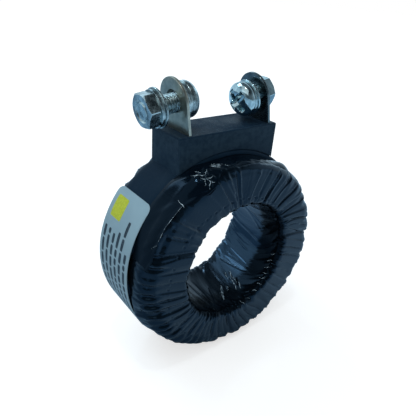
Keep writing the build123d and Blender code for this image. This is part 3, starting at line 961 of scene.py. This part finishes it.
def make_sheet(material):
    angle = np.linspace(SHEET_START, SHEET_END, SHEET_GRID[0])[:, None]
    t = np.linspace(0, 1, SHEET_GRID[1])[None, :]
    edge = around(angle, SHEET_EDGE) + SHEET_WAVER * waves(angle, 41, 5, 20, 60)
    edge = edge + SHEET_TUCK * (1 - smooth_step(angle, 102, 108))
    across = between(SHEET_TOP, edge, t)
    angle, t = np.broadcast_arrays(angle, t)
    top = sheet_height(angle, across, t) - SHEET_SINK
    surface = np.stack([np.radians(angle) * SHEET_MAP_R, across], -1)
    new_sheet("shoulder_sheet", ring_points(angle, across, top),
              ring_points(angle, across, top - SHEET_WALL), surface, material, "tape", sharp=60)


def sheet_place(angle, across, lift):
    """Point on the sheet's outside, lifted a little."""
    t = (across - SHEET_TOP) / (around(angle, SHEET_EDGE) - SHEET_TOP)
    return ring_points(angle, across, sheet_height(angle, across, np.clip(t, 0, 1)) + lift)


# Crinkles on the sheet, pale as painted glints: (angle, across) at both ends, bow and radius.
CRINKLES = (
    ((119.6, 8.6), (117.0, 9.5), 0.3, 0.1), ((119.2, 9.5), (117.0, 9.8), -0.2, 0.08),
    ((117.0, 9.5), (115.4, 10.6), 0.3, 0.12), ((115.4, 10.6), (113.2, 10.0), -0.3, 0.1),
    ((115.6, 10.4), (115.3, 12.4), 0.3, 0.12), ((115.0, 11.2), (112.6, 11.4), 0.2, 0.09),
    ((115.3, 12.3), (117.2, 13.6), -0.3, 0.11), ((117.6, 10.4), (115.8, 11.3), 0.2, 0.09),
    ((116.9, 8.2), (115.8, 9.6), 0.1, 0.09), ((114.6, 12.2), (113.2, 12.8), 0.2, 0.08),
    ((116.6, 11.2), (118.4, 12.2), 0.2, 0.09), ((113.4, 9.9), (112.4, 9.2), 0.1, 0.08),
    ((130.8, 10.4), (131.8, 12.6), 0.2, 0.12), ((109.4, 8.2), (105.8, 9.9), 0.3, 0.1),
    ((108.2, 7.9), (104.6, 9.4), 0.3, 0.1), ((106.8, 7.8), (103.0, 9.2), 0.2, 0.09),
    ((102.6, 9.6), (100.6, 10.8), 0.2, 0.08),
)
# Sharp creases of the turns in the window and at its front edge, pale as painted glints: (angle,
# across) at both ends.
WALL_CREASES = (
    ((301.5, 38.6), (297.0, 35.8)), ((298.8, 37.8), (296.6, 34.6)), ((297.0, 39.4), (292.8, 36.6)),
    ((299.5, 35.8), (295.0, 32.6)), ((296.0, 36.2), (292.6, 33.0)), ((294.2, 33.6), (290.0, 31.0)),
    ((298.0, 32.8), (294.2, 30.2)), ((281.6, 36.2), (277.6, 32.8)), ((279.4, 35.4), (275.0, 32.2)),
    ((276.6, 33.8), (272.4, 30.8)), ((274.0, 32.6), (270.6, 30.0)), ((286.4, 34.8), (283.6, 32.6)),
    ((338, 26.6), (334.5, 28.6)), ((330.5, 26.2), (327, 28.0)), ((324, 25.6), (321.5, 27.4)),
    ((318, 25.8), (314.5, 27.6)), ((311.5, 25.2), (309, 27.0)), ((303.5, 25.0), (300.5, 26.8)),
    ((293, 24.2), (290.5, 26.2)), ((284.5, 24.4), (282.5, 26.4)), ((346, 26.4), (343, 28.0)),
)
BORE_CREASE_R = 0.13
MOUTH_CREASE_R = 0.085
HEM_START = 131.5
HEM_END = 154.5
HEM_RADIUS = 0.05
RIDGE_SIDES = 6


def new_ridges(name, lines, material):
    """Piece of thin round ridges along lines of points with a radius, pointed at both ends."""
    points, faces = [], []
    for line, radius in lines:
        base, steps = len(points), len(line)
        for i, place in enumerate(line):
            ahead = line[min(i + 1, steps - 1)] - line[max(i - 1, 0)]
            ahead = ahead / np.linalg.norm(ahead)
            side = np.cross(ahead, (0.31, 0.57, 0.76))
            side = side / np.linalg.norm(side)
            above = np.cross(side, ahead)
            r = radius * between(0.12, 1, math.sin(math.pi * (i + 0.5) / steps) ** 0.6)
            for j in range(RIDGE_SIDES):
                turn = 2 * math.pi * j / RIDGE_SIDES
                points.append(place + r * (side * math.cos(turn) + above * math.sin(turn)))
        faces += grid_faces(steps, RIDGE_SIDES, False, True, base)
        faces += [cap[::-1] for cap in end_caps(steps, RIDGE_SIDES, base)]
    new_piece(name, points, faces, material, "tape")


def make_crinkles(material):
    along = np.linspace(0, 1, 14)
    lines = []
    for (angle_a, across_a), (angle_b, across_b), bow, radius in CRINKLES:
        angle = between(angle_a, angle_b, along) + bow * np.sin(along * math.pi * 2)
        across = between(across_a, across_b, along) + bow * np.sin(along * math.pi)
        lines.append((sheet_place(angle, across, 0.02), radius))
    new_ridges("sheet_crinkles", lines, material)


def make_hem(material):
    """Thin rolled edge of the sheet where it meets the turns, pale as a painted highlight line."""
    angle = np.linspace(HEM_START, HEM_END, 90)
    hook = 1.1 * smooth_step(angle, HEM_END - 3, HEM_END)
    across = around(angle, SHEET_EDGE) - 0.12 - hook + 0.08 * waves(angle, 71, 5, 20, 60)
    new_ridges("sheet_hem", [(sheet_place(angle, across, -0.02), HEM_RADIUS)], material)


def make_wall_creases(material):
    along = np.linspace(0, 1, 12)
    lines = []
    for k, ((angle_a, across_a), (angle_b, across_b)) in enumerate(WALL_CREASES):
        angle = between(angle_a, angle_b, along) + 0.4 * np.sin(along * math.pi * 2 + k)
        across = between(across_a, across_b, along)
        radius = BORE_CREASE_R if across_a > BORE_START else MOUTH_CREASE_R
        lines.append((ring_points(angle, across, wrap_relief(angle, across)), radius))
    new_ridges("wall_creases", lines, material)


# ---------------------------------------------------------------- strip and sticker on the rim

BAND_WALL = 0.8
BAND_Y = 1.6
BAND_HALF = 7.1
BAND_START = 55.0
BAND_END = 213.0
BAND_ROWS = 260
BAND_FRAY = ((0, 0.0), (150, 0.0), (161, 0.2), (166, 1.5), (171, 1.9), (176, 1.2), (181, 0.0))
# Worn long edge of the strip: (distance in from it, height).
BAND_PROFILE = ((0, -0.5), (0, 0.1), (0.25, 0.38), (0.8, 0.62), (1.5, BAND_WALL - 0.03),
                (2.6, BAND_WALL))
BAND_EDGE_H = 0.3        # above this height the strip's face swells and sinks a little
BAND_SWELL = 0.03
BAND_WAVER = 0.06        # how far its long edges wander

LABEL_WALL = 0.15
LABEL_SINK = 0.02
LABEL_WIDTH = 15.8
LABEL_CORNER_R = 2.0
LABEL_Y = 2.1
LABEL_START = 139.5
LABEL_END = 209.5
LABEL_GRID = (150, 34)

# Rows of plain bars where the sticker is printed: start and end angle of each row.
PRINT_ROWS = ((158.8, 196), (158.8, 197), (159.6, 199), (157.4, 198), (150.6, 200), (164, 199))
PRINT_TOP = 8.2          # place of the first row along the axis
PRINT_PITCH = 2.42
PRINT_HEIGHT = 0.012
BAR_HALF = 0.6
BAR_GAP = 0.9            # in degrees, like the shortest and longest bar
BAR_LENGTHS = (2.6, 7.5)
PRINT_FIELD = (143.4, 153.8, 2.9, 8.3)


def make_band(material):
    """Strip of insulation round the rim, its long edges worn thin, frayed under the sticker."""
    angle = np.linspace(BAND_START, BAND_END, BAND_ROWS)[:, None]
    front = BAND_Y - BAND_HALF + around(angle, BAND_FRAY)
    front = front + BAND_WAVER * waves(angle, 43, 4, 9, 30)
    back = BAND_Y + BAND_HALF + BAND_WAVER * waves(angle, 47, 4, 9, 30)
    loop = [(front + d, h) for d, h in BAND_PROFILE]
    loop += [(between(front, back, share), BAND_WALL) for share in (0.35, 0.5, 0.65)]
    loop += [(back - d, h) for d, h in reversed(BAND_PROFILE)]
    ease = BAND_SWELL * waves(angle, 53, 4, 6, 20)
    columns = [round_axis(rim_radius(angle) + h + (ease if h > BAND_EDGE_H else 0), y, angle)
               for y, h in loop]
    shape = BAND_ROWS, len(loop)
    faces = grid_faces(*shape, False, True, flip=True) + end_caps(*shape)
    new_piece("rim_strip", np.concatenate(columns, 1), faces, material, "band", ["rim_band"],
              sharp=60)


def label_point(angle, y, height):
    """Point on the sticker's outside face, or above it by the height."""
    r = rim_radius(angle) + BAND_WALL - LABEL_SINK + LABEL_WALL + height
    return round_axis(r, y, angle)


def make_label(material):
    under_r = TAPE_R + BAND_WALL
    length = math.radians(LABEL_END - LABEL_START) * under_r
    s = np.linspace(0, length, LABEL_GRID[0])[:, None]
    w = np.linspace(-1, 1, LABEL_GRID[1])[None, :]
    short = np.clip(LABEL_CORNER_R - np.minimum(s, length - s), 0, LABEL_CORNER_R)
    half = LABEL_WIDTH / 2 - (LABEL_CORNER_R - np.sqrt(LABEL_CORNER_R ** 2 - short ** 2))
    y = LABEL_Y + w * half
    angle = LABEL_START + np.degrees(s / under_r) + 0 * y
    surface = np.stack([y, s + 0 * y], -1)
    new_sheet("rim_sticker", label_point(angle, y, 0.0), label_point(angle, y, -LABEL_WALL),
              surface, material, "label", flip=True, replaced=["blank_label"], sharp=50)


def new_print(name, patches, corner, material):
    """Piece of printed patches with rounded ends: start and end angle, and low and high y."""
    points, faces = [], []
    for start, end, low, high in patches:
        rows = max(3, int((end - start) * 2))
        faces += grid_faces(rows, 3, start=len(points), flip=True)
        for i in range(rows):
            angle = start + (end - start) * i / (rows - 1)
            inset = corner * (1 - max(0.0, math.sin(math.pi * i / (rows - 1))) ** 0.25)
            for y in (low + inset, (low + high) / 2, high - inset):
                points.append(label_point(angle, y, PRINT_HEIGHT))
    new_piece(name, points, faces, material, "label")


def make_prints(ink, yellow):
    rng = np.random.default_rng(7)
    bars = []
    for row, (angle, end) in enumerate(PRINT_ROWS):
        middle = PRINT_TOP - row * PRINT_PITCH
        while angle < end:
            stop = angle + float(rng.uniform(*BAR_LENGTHS))
            bars.append((angle, stop, middle - BAR_HALF, middle + BAR_HALF))
            angle = stop + BAR_GAP
    new_print("sticker_bars", bars, 0.2, ink)
    new_print("sticker_field", [PRINT_FIELD], 0.3, yellow)


# ---------------------------------------------------------------- terminal hardware

TAB_WALL = 0.8
TAB_WIDTH = 11.8
TAB_HOLE_R = 2.9
TAB_HOLE_Z = 7.6
TAB_FOOT = 4.3
TAB_EDGE = 0.12
TAB_RAYS = 64

THREAD_R = 2.5
THREAD_DEPTH = 0.42
THREAD_PITCH = 0.8
THREAD_STEPS = 48        # round the thread
THREAD_STEP = 0.08       # along it
TIP_CHAMFER = 0.5
HEAD_R = 4.75
HEAD_RIM = 0.9
HEAD_HEIGHT = 3.3
HEAD_SEGMENTS = 128
RECESS_DEPTH = 2.1
RECESS_ARM = 1.0         # half of an arm's width
RECESS_REACH = 3.5
RECESS_TURNS = (45, 135)
NUT_FLATS = 8.0
NUT_HEIGHT = 3.0
NUT_SEGMENTS = 240
NUT_CHAMFER = 0.35       # where its thread begins
NUT_DEPTHS = (0.0, 0.04, 0.1, 0.18, 0.28, 0.4, 0.55, 0.75)
FLAT_R = 5.0
FLAT_WALL = 0.6
SPRING_R = 4.7
SPRING_WALL = 1.0
SPRING_ROWS = 110
SPRING_GAP = 6.0         # half of the slit, in degrees
SPRING_SLANT = 14        # degrees that the slit leans per millimetre of height
WASHER_BORE_R = 2.65
SCREW_Z = TAB_HOLE_Z - (TAB_HOLE_R - THREAD_R)
WASHER_Z = SCREW_Z - (WASHER_BORE_R - THREAD_R)

TERMINALS = {
    "left": dict(screw_length=12.0, head_gap=0.5, nut_gap=4.5, nut_washers=True, nut_angle=-5.0,
                 slit=225.0),
    "right": dict(screw_length=10.0, head_gap=1.9, nut_gap=0.8, nut_washers=False, nut_angle=0.0,
                  slit=200.0),
}


def terminal_matrix(side):
    """Frame of one terminal in millimetres: x = 0 is the tab's outer face, +x to the head."""
    mount = next(m for m in frame["record"]["mounts"] if m["name"] == side + "_terminal")
    x = -Vector(mount["axis"]).normalized()
    y = Vector((0, 1 if side == "left" else -1, 0))
    z = x.cross(y)
    origin = Vector(mount["pos_m"]) / MM - z * TAB_HOLE_Z
    turn = Matrix((x, y, z)).transposed().to_4x4()
    return Matrix.Translation(origin) @ turn


def turns(count):
    """Evenly spaced angles of a full turn, in radians."""
    return [2 * math.pi * i / count for i in range(count)]


def spoke(x, r, a):
    return x, r * math.cos(a), r * math.sin(a)


# Each shape below gives its points in a terminal's frame, its faces and its sharp angle.

def washer_profile(wall, r_high, edge, steps=3):
    """Closed profile of a washer's section, as (x, radius) with rounded corners."""
    corners = ((wall - edge, r_high - edge), (edge, r_high - edge),
               (edge, WASHER_BORE_R + edge), (wall - edge, WASHER_BORE_R + edge))
    profile = []
    for k, (x, r) in enumerate(corners):
        for i in range(steps + 1):
            a = math.radians(90 * (k + i / steps))
            profile.append((x + edge * math.cos(a), r + edge * math.sin(a)))
    return profile


def flat_washer():
    profile = washer_profile(FLAT_WALL, FLAT_R, 0.14)
    points = [spoke(x, r, a) for a in turns(96) for x, r in profile]
    return points, grid_faces(96, len(profile), True, True), 50


def spring_washer(slit):
    """Split ring of rounded square section whose ends stand a little apart."""
    profile = washer_profile(SPRING_WALL, SPRING_R, 0.12)
    points = []
    for share in (i / (SPRING_ROWS - 1) for i in range(SPRING_ROWS)):
        a = math.radians(slit + SPRING_GAP + (360 - 2 * SPRING_GAP) * share)
        slant = math.radians(SPRING_SLANT) if share in (0, 1) else 0
        points += [spoke(x, r, a + slant * (x - SPRING_WALL / 2)) for x, r in profile]
    shape = SPRING_ROWS, len(profile)
    return points, grid_faces(*shape, False, True) + end_caps(*shape), 50


def nut(angle):
    """Hexagon nut down from x = 0, chamfered where a cone meets its flats."""
    half = NUT_FLATS / 2
    blunt = half / math.cos(math.pi / 6) - 0.07
    rows = [*NUT_DEPTHS, NUT_HEIGHT / 2, *(NUT_HEIGHT - d for d in reversed(NUT_DEPTHS))]
    mouth = [(NUT_CHAMFER, THREAD_R - 0.3), (NUT_CHAMFER, THREAD_R), (0.0, THREAD_R + 0.35)]
    points = []
    for a in turns(NUT_SEGMENTS):
        local = (math.degrees(a) + 30) % 60 - 30
        flat = min(half / math.cos(math.radians(local)), blunt)
        column = mouth + [(d, min(flat, half + 0.05 + 1.75 * min(d, NUT_HEIGHT - d))) for d in rows]
        column += [(NUT_HEIGHT - d, r) for d, r in reversed(mouth)]
        points += [spoke(-d, r, a + math.radians(angle + 30)) for d, r in column]
    return points, grid_faces(NUT_SEGMENTS, len(column), True, True, flip=True), 24


def cross_depth(y, z):
    """Depth of the cross recess under the head's top at a place on it."""
    best = 0.0
    for turn in RECESS_TURNS:
        c, s = math.cos(math.radians(turn)), math.sin(math.radians(turn))
        along, apart = abs(y * c + z * s), abs(-y * s + z * c)
        wall = min(1, max(0, (RECESS_ARM - apart) / 0.2))
        end = min(1, max(0, (RECESS_REACH - along) / 1.5))
        best = max(best, RECESS_DEPTH * wall * end)
    return best


def screw(length):
    """Pan head screw with a cross recess and a rolled thread, from its head's underside."""
    dome_r = HEAD_R - 0.02
    outline = [(0.0, THREAD_R - 0.2), (0.0, HEAD_R - 0.15), (0.05, HEAD_R - 0.05), (0.15, HEAD_R),
               (0.6, HEAD_R), (HEAD_RIM, dome_r)]
    below_dome = len(outline)
    for r in (dome_r * math.cos(t) for t in np.linspace(0.06, 1.56, 46)):
        outline.append((HEAD_RIM + (HEAD_HEIGHT - HEAD_RIM) * (1 - (r / HEAD_R) ** 2.6) ** 0.55, r))
    columns = len(outline)
    points = []
    for a in turns(HEAD_SEGMENTS):
        for k, (x, r) in enumerate(outline):
            x, y, z = spoke(x, r, a)
            points.append((x - cross_depth(y, z) if k >= below_dome else x, y, z))
    faces = grid_faces(HEAD_SEGMENTS, columns, True, False)
    faces.append(tuple(i * columns + columns - 1 for i in range(HEAD_SEGMENTS)))
    base = len(points)
    rows = int(length / THREAD_STEP)
    for x in (-length * j / rows for j in range(rows + 1)):
        for i, a in enumerate(turns(THREAD_STEPS)):
            crest = abs((x / THREAD_PITCH - i / THREAD_STEPS) % 1 - 0.5) * 2
            r = THREAD_R - THREAD_DEPTH * min(1, max(0, (crest - 0.12) / 0.7))
            r = min(r, THREAD_R - TIP_CHAMFER + (x + length) * 1.2)
            if x > -0.5:
                r = max(r, THREAD_R - THREAD_DEPTH * (-x / 0.5))
            points.append(spoke(x, r, a))
    faces += grid_faces(rows + 1, THREAD_STEPS, False, True, base, flip=True)
    faces.append(end_caps(rows + 1, THREAD_STEPS, base)[1][::-1])
    return points, faces, 32


def ray_reach(outline, dy, dz):
    """How far a ray from the origin goes until it meets a closed outline."""
    meets = []
    for (y0, z0), (y1, z1) in zip(outline, outline[1:] + outline[:1]):
        ey, ez = y1 - y0, z1 - z0
        det = ey * dz - dy * ez
        if abs(det) > 1e-9:
            reach, share = (ey * z0 - ez * y0) / det, (dy * z0 - dz * y0) / det
            if reach > 0 and -1e-6 <= share <= 1 + 1e-6:
                meets.append(reach)
    return min(meets)


def tab():
    """Upright plate with a round top and a hole, its edges slightly rounded by the punch."""
    half, foot, e = TAB_WIDTH / 2, -TAB_FOOT - TAB_HOLE_Z, TAB_EDGE
    outline = [(-half, foot), (half, foot)]
    outline += [(half * math.cos(a), half * math.sin(a)) for a in np.linspace(0, math.pi, 40)]
    rays = [(math.cos(a), math.sin(a)) for a in turns(TAB_RAYS)]
    layers = [(0.0, e), (e * 0.3, e * 0.3), (e, 0.0)]
    layers += [(TAB_WALL - x, inset) for x, inset in reversed(layers)]
    loops = [(x, [ray_reach(outline, *ray) - inset for ray in rays]) for x, inset in layers]
    loops += [(x, [TAB_HOLE_R + inset] * TAB_RAYS) for x, inset in reversed(layers)]
    points = [(x, dy * r, dz * r + TAB_HOLE_Z) for x, loop in loops
              for (dy, dz), r in zip(rays, loop)]
    return points, grid_faces(len(loops), TAB_RAYS, True, True), 35


def make_terminal(side, tab_metal, metal):
    spec = TERMINALS[side]
    matrix = np.array(terminal_matrix(side))

    def put(name, x, z, shape, material=metal, slot="zinc"):
        points, faces, sharp = shape
        points = (np.asarray(points) + (x, 0, z)) @ matrix[:3, :3].T + matrix[:3, 3]
        name = side + "_" + name
        new_piece(name, points, faces, material, slot, [name], sharp=sharp)

    flat_x = TAB_WALL + spec["head_gap"]
    spring_x = flat_x + FLAT_WALL
    put("tab", 0, 0, tab(), tab_metal, "tab")
    put("head_flat_washer", flat_x, WASHER_Z, flat_washer())
    put("head_spring_washer", spring_x, WASHER_Z, spring_washer(spec["slit"]))
    put("screw", spring_x + SPRING_WALL, SCREW_Z, screw(spec["screw_length"]))
    nut_x = -spec["nut_gap"]
    if spec["nut_washers"]:
        put("nut_flat_washer", nut_x - FLAT_WALL, WASHER_Z, flat_washer())
        nut_x -= FLAT_WALL + SPRING_WALL
        put("nut_spring_washer", nut_x, WASHER_Z, spring_washer(spec["slit"]))
    put("nut", nut_x, SCREW_Z, nut(spec["nut_angle"]))


# ---------------------------------------------------------------- assembly

# Tapes: dark, light, roughness, wrinkles, shine and, for the sheet, where it turns satin.
WRAP_TAPE = ((0.001, 0.0028, 0.0048), (0.002, 0.0046, 0.0076), (0.13, 0.26), 0.14, 0.4)
SHEET_TAPE = ((0.0012, 0.0035, 0.007), (0.002, 0.0055, 0.0105), (0.1, 0.18), 0.1, 0.16, (124, 140))
# Tape pale as painted glints, and inks: dark, light, patches per mm, contrast, roughness and shine.
PAINTED_GLINT_TAPE = ((0.02, 0.04, 0.06), (0.4, 0.5, 0.56), 1.2, 0.9, (0.12, 0.3), 0.6)
INK = ((0.012, 0.022, 0.032), (0.04, 0.06, 0.08), 1.6, 0.6, (0.4, 0.55), 0.3)
YELLOW = ((0.42, 0.46, 0.02), (0.52, 0.56, 0.04), 1.6, 0.6, (0.4, 0.55), 0.3)
# Metals: dark, light, roughness, streaks per mm across and along, and depth of the brushing.
METALS = {
    "nickel_plate": ((0.37, 0.36, 0.3), (0.53, 0.5, 0.41), (0.3, 0.42), 6.0, 0.4, 0.3),
    # shaded_nickel is the tabs' nickel, darkened as painted shade for the right tab.
    "shaded_nickel": ((0.12, 0.155, 0.165), (0.19, 0.23, 0.24), (0.2, 0.3), 5.0, 0.5, 0.1),
    "dull_zinc": ((0.14, 0.18, 0.19), (0.64, 0.74, 0.74), (0.2, 0.36), 3.0, 0.6, 0.2),
    "bright_zinc": ((0.36, 0.47, 0.5), (0.62, 0.76, 0.78), (0.07, 0.18), 3.0, 0.6, 0.1),
}
# Layers inside: dark, light, roughness, metallic and patches per mm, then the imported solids.
HIDDEN = {
    "amber_film": ((0.42, 0.30, 0.10), (0.6, 0.46, 0.2), 0.25, 0.0, 0.2, ["film_wrap"]),
    "enamelled_copper": ((0.42, 0.14, 0.05), (0.6, 0.24, 0.1), 0.35, 1.0, 0.6,
                         ["secondary_winding", "left_lead", "right_lead"]),
    "pressboard": ((0.36, 0.26, 0.15), (0.5, 0.38, 0.23), 0.8, 0.0, 0.8,
                   ["core_outer_sleeve", "core_inner_sleeve", "core_front_ring", "core_back_ring"]),
    "core_steel": ((0.28, 0.29, 0.31), (0.4, 0.41, 0.43), 0.4, 1.0, 0.4, ["wound_core"]),
}


def dress(material, names):
    """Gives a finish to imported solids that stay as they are."""
    for name in names:
        materials = frame["nodes"][name].data.materials
        materials.clear()
        materials.append(material)


make_camera()
make_studio()
make_floor()
make_wrap(tape_material("wrap_tape", *WRAP_TAPE))
make_sheet(tape_material("sheet_tape", *SHEET_TAPE))
# Pale tape on the crinkles, hem and creases paints glints and highlights.
painted_glint_tape = mottled_material("painted_glint_tape", *PAINTED_GLINT_TAPE)
make_crinkles(painted_glint_tape)
make_hem(painted_glint_tape)
make_wall_creases(painted_glint_tape)
make_label(sticker_material())
make_prints(mottled_material("sticker_ink", *INK), mottled_material("sticker_yellow", *YELLOW))
metals = {name: metal_material(name, *looks) for name, looks in METALS.items()}
make_terminal("left", metals["nickel_plate"], metals["dull_zinc"])
make_terminal("right", metals["shaded_nickel"], metals["bright_zinc"])
for finish_name, (*looks, solids) in HIDDEN.items():
    dress(hidden_material(finish_name, *looks), solids)
dress(block_material(), ["terminal_block"])
make_band(strip_material())
